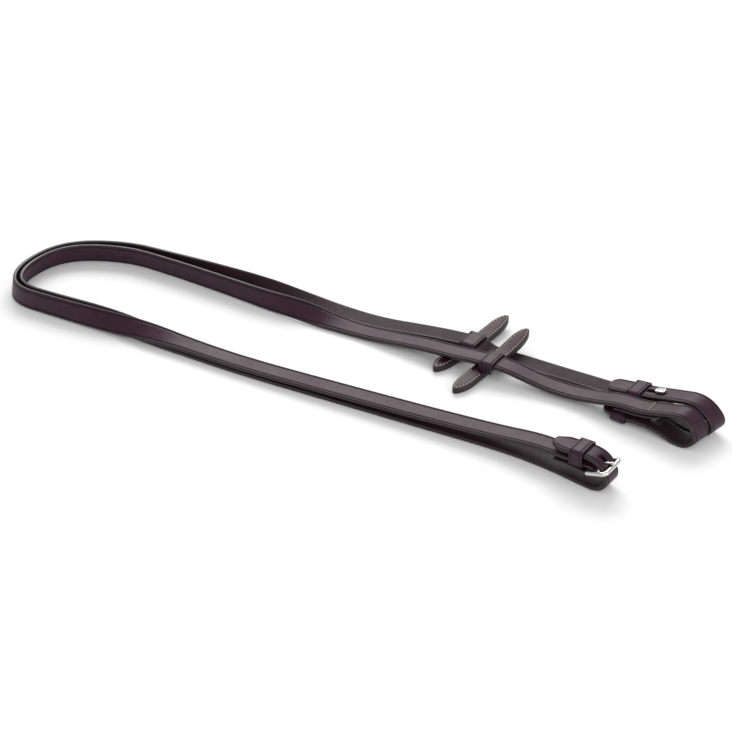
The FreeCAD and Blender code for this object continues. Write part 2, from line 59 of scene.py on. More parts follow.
# ---- driving dimensions, millimetres and degrees ---------------------------------------------
STRAP_WIDTH, STRAP_THICKNESS = 19.0, 3.4
LINING_WIDTH, LINING_THICKNESS, LINING_GAP = 17.5, 2.2, 1.2
LINING_CREASE, LINING_DEPTH = 1.6, 0.2
SAMPLES_PER_RUN = 18         # points read from the smooth line between two route points

# the pressed line along each edge: from the edge, how deep, half its width
CREASE_INSET, CREASE_DEPTH, CREASE_HALF = 2.3, 0.42, 0.55
CROWN = 0.06                 # how far the grain side stands up in the middle
NARROW_CREASE, BAND_CREASE, NARROW_DEPTH = 1.9, 1.7, 0.3   # the same on keepers and bands

# openings: length along the strap, width, depth, and their places
BILLET_SLOT = (13.0, 4.6, 7.0)
BILLET_SLOT_SHIFT = {"right": 2.0, "left": -2.5}   # from the stud, plus is towards the loop
CHAPE_SLOT = (13.0, 4.2, 13.0)
CHAPE_SLOT_SHIFT = (1.5, 0.5)                      # from the hinge bar: along, up
TONGUE_HOLE = (11.4, 4.2, 11.0)
TONGUE_HOLE_SHIFT = (8.5, 8.2)

# the left strap's end, pared thin where it folds round the hinge bar: distance from the end
# and share of the full thickness
CHAPE_SHARE = 0.53
CHAPE_THICKNESS = ((0.0, CHAPE_SHARE), (38.0, CHAPE_SHARE), (44.0, 0.65), (56.0, 0.65),
                   (66.0, 0.85), (74.0, 1.0))

# strap ends: how far the shaping reaches, and the share of the width left at the very end
ROUND_REACH, ROUND_SHARE = 7.5, 0.30
POINT_REACH, POINT_SHARE = 10.5, 0.42
POINT_FLAT, POINT_FLAT_SHARE = 0.8, 0.82
RUBBED_REACH, RUBBED_SHARE = 1.2, 0.62
TIP_STEPS = (0.0, 0.15, 0.4, 0.8, 1.3, 2.0, 2.8, 3.7, 4.7, 5.9, 7.2, 8.7, 10.3, 12.0)

# keepers: leather wall, room round the straps, corner radius and length along the strap
BIT_KEEPER_WALL, BIT_KEEPER_PLAY, BIT_KEEPER_HEIGHT = 1.6, 0.4, 4.7
BIT_KEEPER_CORNER, BIT_KEEPER_LENGTH = 2.4, 13.0
KEEPER_WALL, KEEPER_PLAY, KEEPER_HEIGHT = 1.3, 0.7, 12.6
KEEPER_CORNER, KEEPER_LENGTH, KEEPER_PITCH = 3.0, 12.0, 3.5

# where the pieces at a bit end are looked for: distances along the strap, in metres
STUD_SEARCH = (0.0, 0.09)
KEEPER_SEARCH = (0.0, 0.08)
LINING_START_SEARCH = (0.10, 0.20)
LINING_STOP_SEARCH = (0.10, 0.24)
STITCH_ROW_SEARCH = (0.10, 0.22)

# stitches
STITCH_LENGTH, STITCH_RADIUS, STITCH_SLANT = 2.7, 0.52, 8.0
STITCH_RINGS, STITCH_SIDES = 7, 8
ROW_STITCHES, ROW_PITCH = 4, 3.6
CHAPE_STITCH_PLACES = (6.5, 10.1, 13.7)            # from the end of the strap
CHAPE_STITCH_OUT = 7.1                             # from the middle of the strap

# rein stops
TAB_LENGTH, TAB_WIDTH, TAB_LAYER, TAB_SKEW = 103.0, 14.0, 2.8, 13.5
TAB_POINT_REACH = 18.5
BAND_WALL, BAND_CORNER = 1.8, 3.6
BAND_PLAY, BAND_TURN = 1.5, 4.0
BAND_SUNK = 0.3              # how deep the band's feet stand in the tab
TAB_STITCH_INSET, TAB_STITCH_PITCH, TAB_STITCH_SUNK = 2.2, 3.3, 0.22
TAB_STITCH_GAP = 1.6         # from the band to the nearest stitch

# place along the tab from the front, height of its underside above the floor
TAB_LIE = {
    "left": ((-51.5, 0.2), (8.0, 0.2), (20.0, 0.9), (32.0, 2.4), (42.0, 4.1), (51.5, 5.9)),
    "right": ((-51.5, 0.2), (-38.0, 0.4), (-26.0, 1.4), (-15.0, 3.0), (-4.0, 4.3), (6.0, 4.7),
              (17.0, 5.1), (27.0, 6.9), (36.0, 9.2), (45.0, 11.4), (51.5, 12.8)),
}
EASING = (-4.0, -2.0, 0.0, 2.0, 4.0)

# ---- routes: x, y, z in millimetres, then the direction across the strap ---------------------
# both run from the tip of the billet round the bit loop to the centre buckle
RIGHT_ROUTE = [
    (234.2, 15.4, 7.4, 0.13, 1.0, 0.0),
    (251.2, 13.2, 4.2, 0.13, 1.0, 0.0),
    (268.2, 11.0, 7.4, 0.13, 1.0, 0.0),
    (288.2, 8.3, 6.4, 0.15, 1.0, 0.0),
    (302.7, 5.5, 1.75, 0.22, 1.0, 0.0),
    (315.4, 5.0, 1.88, 0.28, 1.0, 0.0),
    (324.0, 4.6, 12.0, 0.33, 1.0, 0.0),
    (310.2, 7.0, 29.2, 0.26, 1.0, 0.0),
    (288.2, 9.9, 22.5, 0.14, 1.0, 0.0),
    (268.2, 11.9, 16.8, 0.13, 1.0, 0.0),
    (247.2, 14.5, 15.8, 0.13, 1.0, 0.0),
    (228.2, 16.6, 10.2, 0.08, 1.0, 0.0),
    (203.2, 17.7, 6.2, 0.05, 1.0, 0.0),
    (181.2, 18.1, 6.6, 0.0, 1.0, 0.0),
    (161.2, 18.3, 9.6, 0.0, 1.0, 0.0),
    (141.2, 18.6, 13.3, 0.0, 1.0, 0.0),
    (115.2, 18.9, 13.0, 0.0, 1.0, 0.0),
    (89.2, 19.1, 10.4, 0.0, 1.0, 0.0),
    (63.2, 18.9, 9.6, 0.0, 1.0, 0.0),
    (37.2, 19.2, 6.8, 0.0, 1.0, 0.0),
    (5.2, 19.3, 3.0, 0.0, 1.0, 0.03),
    (-30.8, 18.6, 3.4, 0.0, 1.0, 0.15),
    (-64.8, 15.6, 9.3, 0.0, 0.6, 0.8),
    (-99.8, 14.6, 9.9, 0.0, 0.15, 1.0),
    (-154.8, 18.6, 9.8, 0.0, 0.0, 1.0),
    (-214.8, 21.1, 9.8, 0.0, -0.1, 1.0),
    (-262.8, 20.6, 9.8, 0.05, -0.15, 1.0),
    (-315.8, -4.9, 9.8, 0.18, -0.08, 1.0),
    (-326.8, -53.9, 9.8, 0.20, 0.03, 1.0),
    (-309.8, -84.4, 9.8, 0.10, 0.15, 1.0),
    (-264.8, -83.9, 9.6, 0.0, 0.2, 1.0),
    (-209.8, -81.5, 9.8, 0.0, 0.5, 0.9),
    (-164.8, -80.1, 5.5, 0.0, 0.9, 0.40),
    (-124.8, -79.9, 2.1, 0.0, 1.0, 0.02),
    (-64.8, -80.9, 1.9, 0.0, 1.0, 0.0),
    (25.2, -77.5, 2.0, 0.0, 1.0, 0.0),
    (115.2, -74.1, 1.9, 0.0, 1.0, 0.0),
    (185.2, -71.3, 2.0, 0.0, 1.0, 0.0),
    (227.2, -74.9, 1.9, 0.07, 1.0, 0.0),
    (253.2, -80.3, 2.0, 0.12, 1.0, 0.0),
    (273.5, -83.4, 1.75, 0.14, 1.0, 0.0),
    (280.9, -83.2, 11.5, 0.14, 1.0, 0.0),
    (272.6, -81.6, 24.8, 0.13, 1.0, 0.0),
    (260.2, -80.0, 28.4, 0.12, 1.0, 0.0),
    (242.2, -78.0, 26.2, 0.12, 1.0, 0.0),
    (226.7, -76.4, 25.4, 0.12, 1.0, 0.0),
]

LEFT_ROUTE = [
    (228.2, 39.3, 10.5, 0.13, 1.0, 0.0),
    (246.2, 37.1, 14.2, 0.13, 1.0, 0.0),
    (265.2, 34.5, 17.0, 0.13, 1.0, 0.0),
    (287.2, 30.8, 23.5, 0.15, 1.0, 0.0),
    (312.7, 26.8, 30.4, 0.25, 1.0, 0.0),
    (332.1, 23.8, 13.6, 0.33, 1.0, 0.0),
    (321.7, 25.0, 1.8, 0.27, 1.0, 0.0),
    (295.2, 29.9, 3.4, 0.15, 1.0, 0.0),
    (265.2, 34.4, 6.6, 0.13, 1.0, 0.0),
    (237.2, 40.0, 5.4, 0.12, 1.0, 0.0),
    (205.2, 44.3, 2.4, 0.05, 1.0, 0.0),
    (171.2, 45.3, 1.9, 0.0, 1.0, 0.0),
    (139.2, 45.9, 2.0, 0.0, 1.0, 0.0),
    (114.2, 45.3, 1.9, 0.0, 1.0, 0.0),
    (103.2, 44.5, 8.9, 0.0, 1.0, 0.0),
    (77.2, 42.9, 8.8, 0.0, 1.0, 0.0),
    (45.2, 41.0, 6.6, 0.0, 1.0, 0.0),
    (5.2, 39.7, 1.9, 0.0, 1.0, 0.0),
    (-34.8, 38.5, 2.5, 0.0, 1.0, 0.03),
    (-74.8, 34.9, 6.0, 0.0, 0.9, 0.4),
    (-114.8, 33.1, 9.6, 0.0, 0.6, 0.8),
    (-164.8, 31.6, 10.2, 0.0, 0.3, 1.0),
    (-214.8, 30.9, 9.8, 0.0, 0.0, 1.0),
    (-266.8, 28.6, 9.8, 0.05, -0.15, 1.0),
    (-321.3, -0.9, 9.8, 0.18, -0.08, 1.0),
    (-332.8, -55.9, 9.8, 0.20, 0.03, 1.0),
    (-312.8, -90.2, 9.8, 0.10, 0.15, 1.0),
    (-264.8, -89.4, 9.8, 0.0, 0.2, 1.0),
    (-209.8, -86.9, 9.9, 0.0, 0.5, 0.9),
    (-164.8, -82.2, 9.3, 0.0, 0.9, 0.40),
    (-124.8, -79.9, 6.4, 0.0, 1.0, 0.02),
    (-64.8, -80.9, 6.0, 0.0, 1.0, 0.0),
    (25.2, -77.5, 7.6, 0.0, 1.0, 0.0),
    (115.2, -74.1, 9.7, 0.0, 1.0, 0.0),
    (175.2, -71.7, 12.0, 0.0, 1.0, 0.0),
    (207.2, -72.9, 16.9, 0.05, 1.0, 0.0),
    (231.2, -76.1, 18.6, 0.12, 1.0, 0.0),
    (245.7, -78.3, 19.6, 0.12, 1.0, 0.0),
    (257.2, -80.3, 19.8, 0.12, 1.0, 0.0),
    (266.0, -81.3, 20.55, 0.12, 1.0, 0.0),
    (268.4, -81.6, 16.75, 0.12, 1.0, 0.0),
    (266.0, -81.3, 12.95, 0.12, 1.0, 0.0),
    (257.2, -80.3, 14.2, 0.12, 1.0, 0.0),
    (244.7, -78.5, 15.0, 0.12, 1.0, 0.0),
    (231.2, -76.7, 14.0, 0.12, 1.0, 0.0),
]


# ---- node materials --------------------------------------------------------------------------
class Nodes:
    """A small builder for one material's node tree."""

    def __init__(self, name):
        self.material = bpy.data.materials.new(name)
        self.material.use_nodes = True
        self.tree = self.material.node_tree
        self.shader = self.tree.nodes["Principled BSDF"]

    def add(self, kind, values=None, **settings):
        node = self.tree.nodes.new(kind)
        for key, value in settings.items():
            setattr(node, key, value)
        for key, value in (values or {}).items():
            if isinstance(value, bpy.types.NodeSocket):
                self.tree.links.new(value, node.inputs[key])
            else:
                node.inputs[key].default_value = value
        return node

    def noise(self, vector, scale, detail=4.0, rough=0.55):
        return self.add("ShaderNodeTexNoise", {
            "Vector": vector, "Scale": scale, "Detail": detail, "Roughness": rough}).outputs["Fac"]

    def remap(self, value, low, high, to_low, to_high):
        return self.add("ShaderNodeMapRange", {
            "Value": value, "From Min": low, "From Max": high,
            "To Min": to_low, "To Max": to_high}).outputs["Result"]

    def math(self, kind, a, b=0.0):
        return self.add("ShaderNodeMath", {0: a, 1: b}, operation=kind).outputs[0]

    def mix(self, factor, a, b):
        node = self.add("ShaderNodeMix", {"Factor": factor}, data_type="RGBA")
        for slot, value in (("A", a), ("B", b)):
            socket = [s for s in node.inputs if s.name == slot and s.type == "RGBA"][0]
            if isinstance(value, bpy.types.NodeSocket):
                self.tree.links.new(value, socket)
            else:
                socket.default_value = (*value, 1.0)
        return [s for s in node.outputs if s.type == "RGBA"][0]

    def set(self, socket, value):
        if isinstance(value, bpy.types.NodeSocket):
            self.tree.links.new(value, self.shader.inputs[socket])
        elif isinstance(value, tuple):
            self.shader.inputs[socket].default_value = (*value, 1.0)
        else:
            self.shader.inputs[socket].default_value = value

    def bump(self, height, distance, strength=1.0, under=None):
        values = {"Height": height, "Distance": distance, "Strength": strength}
        if under is not None:
            values["Normal"] = under
        return self.add("ShaderNodeBump", values).outputs["Normal"]


def leather(name, dark, light, rough, pore, pore_depth, grain_depth, specular):
    """Smooth finished leather: fine pores, slow colour variation, rubbed sheen."""
    n = Nodes(name)
    place = n.add("ShaderNodeTexCoord").outputs["Object"]
    slow = n.noise(place, 45.0, 3.0)
    fine = n.noise(place, 900.0, 4.0)
    streak = n.add("ShaderNodeMapping", {"Vector": place, "Scale": (90.0, 700.0, 700.0)})
    fibre = n.noise(streak.outputs[0], 1.0, 3.0)
    cells = n.add("ShaderNodeTexVoronoi", {"Vector": place, "Scale": pore},
                  feature="DISTANCE_TO_EDGE").outputs["Distance"]
    tone = n.math("ADD", n.remap(slow, 0.3, 0.7, 0.0, 0.55), n.remap(fibre, 0.3, 0.7, 0.0, 0.45))
    n.set("Base Color", n.mix(tone, dark, light))
    n.set("Roughness", n.remap(n.math("ADD", slow, fine), 0.7, 1.3, rough - 0.07, rough + 0.09))
    n.set("Specular IOR Level", specular)
    pores = n.bump(n.remap(cells, 0.0, 0.12, 0.0, 1.0), pore_depth, 0.35)
    n.set("Normal", n.bump(fine, grain_depth, 0.4, pores))
    return n.material


def thread_material():
    """Pale waxed thread with a slanting ply."""
    n = Nodes("waxed_thread")
    place = n.add("ShaderNodeTexCoord").outputs["Object"]
    ply = n.add("ShaderNodeTexWave", {"Vector": place, "Scale": 420.0, "Distortion": 2.0},
                bands_direction="DIAGONAL").outputs["Fac"]
    slow = n.noise(place, 300.0)
    # the colour is darker where the ply wave is low, in the grooves the bump sinks: painted shade
    # between the plies; the slow noise adds random tone
    n.set("Base Color", n.mix(n.math("MULTIPLY", ply, slow), (0.34, 0.28, 0.25),
                              (0.74, 0.67, 0.62)))
    n.set("Roughness", n.remap(slow, 0.3, 0.7, 0.5, 0.7))
    n.set("Normal", n.bump(ply, 0.00012, 0.6))
    return n.material


def steel_material():
    """Polished steel with faint drawn lines."""
    n = Nodes("polished_steel")
    place = n.add("ShaderNodeTexCoord").outputs["Object"]
    slow = n.noise(place, 120.0)
    brushed = n.add("ShaderNodeMapping", {"Vector": place, "Scale": (300.0, 2600.0, 2600.0)})
    lines = n.noise(brushed.outputs[0], 1.0, 2.0)
    n.set("Base Color", n.mix(slow, (0.60, 0.60, 0.60), (0.80, 0.79, 0.78)))
    n.set("Metallic", 1.0)
    n.set("Roughness", n.remap(n.math("ADD", slow, lines), 0.6, 1.4, 0.14, 0.30))
    n.set("Normal", n.bump(lines, 0.00002, 0.25))
    return n.material


def floor_material():
    """Plain pale matt floor."""
    n = Nodes("pale_floor")
    place = n.add("ShaderNodeTexCoord").outputs["Object"]
    n.set("Base Color", n.mix(n.noise(place, 3.0), (0.965, 0.965, 0.965), (0.975, 0.975, 0.975)))
    n.set("Roughness", 0.9)
    n.set("Specular IOR Level", 0.1)
    return n.material


GRAIN = leather("leather_grain", (0.022, 0.0058, 0.0125), (0.050, 0.0150, 0.0300), 0.40,
                1500.0, 0.00006, 0.00004, 0.26)
FLESH = leather("leather_flesh", (0.0150, 0.0047, 0.0088), (0.034, 0.0128, 0.0200), 0.55,
                900.0, 0.00008, 0.00012, 0.20)
EDGE = leather("leather_edge", (0.010, 0.0045, 0.006), (0.022, 0.0095, 0.0125), 0.34,
               1200.0, 0.00003, 0.00006, 0.45)
# the crease material is painted darker than the grain: painted shade inside the pressed groove
# along each edge and the tabs' stitch groove
CREASE = leather("leather_crease_painted_shade", (0.006, 0.0022, 0.0032), (0.011, 0.004, 0.006), 0.45,
                 1200.0, 0.00003, 0.00004, 0.25)
THREAD = thread_material()
STEEL = steel_material()
LEATHERS = (GRAIN, EDGE, FLESH, CREASE)
GRAIN_SLOT, EDGE_SLOT, FLESH_SLOT, CREASE_SLOT = range(4)


# ---- mesh helpers ----------------------------------------------------------------------------
def new_object(name, verts, faces, materials, face_slots=None, smooth=True):
    """A mesh object with its faces turned outwards; face_slots names each face's material."""
    mesh = bpy.data.meshes.new(name)
    mesh.from_pydata([tuple(v) for v in verts], [], faces)
    for material in materials:
        mesh.materials.append(material)
    if face_slots is not None:
        mesh.polygons.foreach_set("material_index", face_slots)
    mesh.polygons.foreach_set("use_smooth", [smooth] * len(mesh.polygons))
    work = bmesh.new()
    work.from_mesh(mesh)
    bmesh.ops.recalc_face_normals(work, faces=work.faces)
    work.to_mesh(mesh)
    work.free()
    obj = bpy.data.objects.new(name, mesh)
    scene.collection.objects.link(obj)
    return obj


def flat_section(width, thickness, crease=CREASE_INSET, depth=CREASE_DEPTH):
    """Outline of a strap's cross-section: (across, out, slot) in mm, grain side outwards."""
    w, t = width / 2.0, thickness / 2.0
    half = [
        (w, 0.30 * t, EDGE_SLOT),
        (w - 0.05 * t, 0.62 * t, EDGE_SLOT),
        (w - 0.20 * t, 0.86 * t, EDGE_SLOT),
        (w - 0.45 * t, 0.98 * t, GRAIN_SLOT),
        # the pressed line's faces take the crease material, whose darker colour is painted shade
        # in the groove
        (w - crease + CREASE_HALF, t + 0.04, CREASE_SLOT),
        (w - crease + 0.45 * CREASE_HALF, t - 0.8 * depth, CREASE_SLOT),
        (w - crease, t - depth, CREASE_SLOT),
        (w - crease - 0.45 * CREASE_HALF, t - 0.8 * depth, CREASE_SLOT),
        (w - crease - CREASE_HALF, t + 0.5 * CROWN, CREASE_SLOT),
        (w - crease - 1.6, t + CROWN, GRAIN_SLOT),
        (w * 0.35, t + CROWN, GRAIN_SLOT),
    ]
    under = [
        (w * 0.35, -t, FLESH_SLOT),
        (w - 0.9 * t, -0.99 * t, FLESH_SLOT),
        (w - 0.42 * t, -0.96 * t, EDGE_SLOT),
        (w - 0.16 * t, -0.80 * t, EDGE_SLOT),
        (w, -0.40 * t, EDGE_SLOT),
    ]
    left = [(-u, o, m) for u, o, m in reversed(half)]
    under_left = [(-u, o, m) for u, o, m in reversed(under)]
    return half + left + under_left + under


def shared_slot(first, second):
    """The slot of a face between two outline points."""
    if first == second:
        return first
    if CREASE_SLOT in (first, second):
        return GRAIN_SLOT
    return EDGE_SLOT


def sweep(name, stations, section, closed=False, shape=None):
    """Carries a cross-section along stations of (point, across, out).

    shape gives the share of full width and thickness at a station."""
    count = len(section)
    verts, faces, slots = [], [], []
    for k, (point, across, out) in enumerate(stations):
        wide, thick = shape(k) if shape else (1.0, 1.0)
        for u, o, _ in section:
            verts.append(point + across * (u * wide * MM) + out * (o * thick * MM))
    rings = len(stations)
    for k in range(rings if closed else rings - 1):
        a, b = k * count, ((k + 1) % rings) * count
        for i in range(count):
            j = (i + 1) % count
            faces.append((a + i, a + j, b + j, b + i))
            slots.append(shared_slot(section[i][2], section[j][2]))
    if not closed:
        faces.append(tuple(range(count))[::-1])
        last = (rings - 1) * count
        faces.append(tuple(last + i for i in range(count)))
        slots += [EDGE_SLOT, EDGE_SLOT]
    return new_object(name, verts, faces, LEATHERS, slots)


def spline_points(name, rows):
    """Points read along the smooth line whose control points are given, in metres."""
    curve = bpy.data.curves.new(name, "CURVE")
    curve.dimensions = "3D"
    curve.resolution_u = SAMPLES_PER_RUN
    spline = curve.splines.new("NURBS")
    spline.points.add(len(rows) - 1)
    for point, row in zip(spline.points, rows):
        point.co = (*row, 1.0)
    spline.order_u = 3
    spline.use_endpoint_u = True
    obj = bpy.data.objects.new(name, curve)
    scene.collection.objects.link(obj)
    bpy.context.view_layer.update()
    mesh = bpy.data.meshes.new_from_object(obj)
    points = [v.co.copy() for v in mesh.vertices]
    bpy.data.objects.remove(obj)
    bpy.data.curves.remove(curve)
    bpy.data.meshes.remove(mesh)
    return points


class Strap:
    """The smooth line of a strap with the directions across it and out of its grain side.

    A station is (point, across, out); run holds each point's distance from the billet's tip."""

    def __init__(self, name, route, grain_sign):
        rows = [Vector(r[:3]) * MM for r in route]
        across = [Vector(r[3:]).normalized() for r in route]
        self.points = spline_points(name + "_line", rows)
        rail = spline_points(name + "_rail", [
            p + a * (STRAP_WIDTH / 2.0 * MM) for p, a in zip(rows, across)])
        self.stations = []
        self.run = [0.0]
        last = len(self.points) - 1
        for k, point in enumerate(self.points):
            tangent = (self.points[min(k + 1, last)] - self.points[max(k - 1, 0)]).normalized()
            side = rail[k] - point
            side = (side - tangent * side.dot(tangent)).normalized()
            out = side.cross(tangent).normalized() * grain_sign
            self.stations.append((point, side, out))
            if k:
                self.run.append(self.run[-1] + (point - self.points[k - 1]).length)

    @property
    def length(self):
        return self.run[-1]

    def at(self, distance):
        """The station at a distance along the strap, in metres."""
        distance = min(max(distance, 0.0), self.length)
        k = int(np.searchsorted(self.run, distance)) or 1
        share = (distance - self.run[k - 1]) / max(self.run[k] - self.run[k - 1], 1e-9)
        a, b = self.stations[k - 1], self.stations[k]
        point = a[0].lerp(b[0], share)
        return point, a[1].lerp(b[1], share).normalized(), a[2].lerp(b[2], share).normalized()

    def nearest(self, target, start, stop):
        """Distance along the strap of the place nearest to target, between two distances."""
        near = [k for k, s in enumerate(self.run) if start <= s <= stop]
        return self.run[min(near, key=lambda k: (self.points[k] - target).length)]

    def between(self, start, stop):
        """The stations from one distance to another."""
        inner = [st for st, s in zip(self.stations, self.run) if start < s < stop]
        return [self.at(start)] + inner + [self.at(stop)]


def tip_ladder(length):
    """Distances from a strap's end at which its outline is drawn."""
    return [s * MM for s in TIP_STEPS if s * MM < length]


def rounded_tip(distance):
    """Share of full width at a distance from a rounded end, in mm."""
    if distance >= ROUND_REACH:
        return 1.0
    return max(ROUND_SHARE, (1.0 - (1.0 - distance / ROUND_REACH) ** 2.2) ** 0.5)


def pointed_tip(distance):
    """Share of full width at a distance from a blunt point with straight shoulders, in mm."""
    if distance >= POINT_REACH:
        return 1.0
    if distance > POINT_FLAT:
        return POINT_SHARE + (1.0 - POINT_SHARE) * (distance / POINT_REACH) ** 0.85
    eased = POINT_FLAT_SHARE + (1.0 - POINT_FLAT_SHARE) * distance / POINT_FLAT
    return POINT_SHARE * eased


def end_thickness(distance):
    """Share of full thickness at a distance from the end, in mm, for a rubbed edge."""
    rise = math.sqrt(max(distance, 0.0) / RUBBED_REACH)
    return min(1.0, RUBBED_SHARE + (1.0 - RUBBED_SHARE) * rise)


def build_strap(name, strap, tips, thickness=None):
    """One strap; tips are the outline functions of its first and last end."""
    total = strap.length
    head = tip_ladder(total)
    tail = [total - s for s in reversed(head)]
    clear = head[-1] * 1.05
    middle = [s for s in strap.run if clear < s < total - clear]
    places = head + middle + tail
    stations = [strap.at(s) for s in places]

    def shape(k):
        s = places[k]
        first, last = s / MM, (total - s) / MM
        wide = min(tips[0](first), tips[1](last))
        thick = end_thickness(min(first, last))
        if thickness:
            thick *= thickness((total - s) / MM)
        return wide, thick

    return sweep(name, stations, flat_section(STRAP_WIDTH, STRAP_THICKNESS), shape=shape)


def cut_with(obj, cutter):
    """Cuts cutter out of obj for good, then removes cutter."""
    modifier = obj.modifiers.new("cut", "BOOLEAN")
    modifier.operation = "DIFFERENCE"
    modifier.solver = "EXACT"
    modifier.object = cutter
    bpy.context.view_layer.update()
    made = bpy.data.meshes.new_from_object(
        obj.evaluated_get(bpy.context.evaluated_depsgraph_get()))
    obj.modifiers.clear()
    obj.data = made
    bpy.data.objects.remove(cutter)


def slot_cutter(name, centre, along, across, length, width, depth, sides=24):
    """An upright prism with rounded ends."""
    up = along.cross(across).normalized()
    outline = []
    r = width / 2.0
    for k in range(sides):
        angle = 2.0 * math.pi * k / sides
        shift = (length / 2.0 - r) * (1 if math.cos(angle) >= 0 else -1)
        outline.append((shift + r * math.cos(angle), r * math.sin(angle)))
    verts, faces = [], []
    for z in (-depth / 2.0, depth / 2.0):
        for x, y in outline:
            verts.append(centre + (along * x + across * y + up * z) * MM)
    n = len(outline)
    faces.append(tuple(range(n))[::-1])
    faces.append(tuple(range(n, 2 * n)))
    for i in range(n):
        j = (i + 1) % n
        faces.append((i, j, n + j, n + i))
    return new_object(name, verts, faces, LEATHERS, [EDGE_SLOT] * (n + 2), smooth=False)


def loop_stations(centre, along, across, width, height, corner, steps=7):
    """Stations round a rounded rectangle standing square to along."""
    up = along.cross(across).normalized()
    w, h = width / 2.0, height / 2.0
    places = []
    for sx, sz, base in ((1, 1, 0), (-1, 1, 90), (-1, -1, 180), (1, -1, 270)):
        for k in range(steps + 1):
            angle = math.radians(base + 90.0 * k / steps)
            out = across * math.cos(angle) + up * math.sin(angle)
            point = centre + (across * (sx * (w - corner)) + up * (sz * (h - corner))
                              + out * corner) * MM
            places.append((point, along, out))
    return places


def centre_of(node):
    """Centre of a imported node's box."""
    low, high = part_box(node)
    return (low + high) / 2.0


# ---- stitches --------------------------------------------------------------------------------
def stitches(name, seats):
    """One rounded thread for each (point, along, out), its ends dipping into the leather."""
    verts, faces = [], []
    rings, sides, radius = STITCH_RINGS, STITCH_SIDES, STITCH_RADIUS
    for point, along, out in seats:
        side = out.cross(along).normalized()
        turn = Matrix.Rotation(math.radians(STITCH_SLANT + rng.uniform(-3.0, 3.0)), 3, out)
        a, s = turn @ along, turn @ side
        base = len(verts)
        for k in range(rings):
            t = -1.0 + 2.0 * k / (rings - 1)
            swell = math.sqrt(max(0.0, 1.0 - abs(t) ** 2.6)) * 0.85 + 0.15
            lift = radius * 0.55 - 0.66 * abs(t) ** 2.4
            for j in range(sides):
                angle = 2.0 * math.pi * j / sides
                offset = (a * (t * STITCH_LENGTH / 2.0)
                          + s * (math.cos(angle) * radius * swell)
                          + out * (lift + math.sin(angle) * radius * swell))
                verts.append(point + offset * MM)
        for k in range(rings - 1):
            for j in range(sides):
                i, m = base + k * sides, (j + 1) % sides
                faces.append((i + j, i + m, i + sides + m, i + sides + j))
        faces.append(tuple(base + j for j in range(sides))[::-1])
        faces.append(tuple(base + (rings - 1) * sides + j for j in range(sides)))
    return new_object(name, verts, faces, (THREAD,))


# ---- camera ----------------------------------------------------------------------------------
AIM = Vector((0.0252, -0.0239, 0.0))
AZIMUTH, ELEVATION, DISTANCE = math.radians(29.0), math.radians(34.0), 1.516
LEVEL = math.cos(ELEVATION)
BACK = Vector((math.sin(AZIMUTH) * LEVEL, -math.cos(AZIMUTH) * LEVEL, math.sin(ELEVATION)))

camera_data = bpy.data.cameras.new("camera")
camera_data.lens = 85.0
camera_data.sensor_width = 36.0
camera = bpy.data.objects.new("camera", camera_data)
scene.collection.objects.link(camera)
camera.location = AIM + BACK * DISTANCE
camera.rotation_mode = "QUATERNION"
camera.rotation_quaternion = (-BACK).to_track_quat("-Z", "Y")
scene.camera = camera

# ---- straps ----------------------------------------------------------------------------------
right = Strap("right", RIGHT_ROUTE, 1.0)
left = Strap("left", LEFT_ROUTE, -1.0)


def chape_thickness(distance):
    """Share of full thickness at a distance from the end of the left strap, in mm."""
    return float(np.interp(distance, *zip(*CHAPE_THICKNESS)))


def square_tip(distance):
    """Share of full width at a distance from a square end, in mm."""
    return 1.0 if distance > 1.0 else 0.94 + 0.06 * distance


strap_right = build_strap("strap_right", right, (rounded_tip, pointed_tip))
strap_left = build_strap("strap_left", left, (rounded_tip, square_tip), chape_thickness)


def billet_hole(strap_obj, strap, name):
    """Cuts the slot that goes over the hook stud."""
    stud = strap.nearest(centre_of("hook_stud_" + name), *STUD_SEARCH)
    point, across, out = strap.at(stud + BILLET_SLOT_SHIFT[name] * MM)
    along = out.cross(across).normalized()
    cut_with(strap_obj, slot_cutter("billet_slot", point, along, across, *BILLET_SLOT))


billet_hole(strap_right, right, "right")
billet_hole(strap_left, left, "left")

pivot = Vector(frame["joints"][0]["pos_m"])
hinge_axis = Vector(frame["joints"][0]["axis"]).normalized()
BUCKLE_ALONG = Vector((-hinge_axis.y, hinge_axis.x, 0.0)).normalized()
BUCKLE_ACROSS = UP.cross(BUCKLE_ALONG).normalized()


def buckle_hole(strap_obj, name, shift, size):
    """Cuts an upright slot at the centre buckle, placed from the hinge bar."""
    centre = pivot + (BUCKLE_ALONG * shift[0] + UP * shift[1]) * MM
    cut_with(strap_obj, slot_cutter(name, centre, BUCKLE_ALONG, BUCKLE_ACROSS, *size))


buckle_hole(strap_left, "chape_slot", CHAPE_SLOT_SHIFT, CHAPE_SLOT)
buckle_hole(strap_right, "tongue_hole", TONGUE_HOLE_SHIFT, TONGUE_HOLE)

for obj, node in ((strap_right, "rein_strap_right"), (strap_left, "rein_strap_left")):
    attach(obj, "reins")
    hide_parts(node)


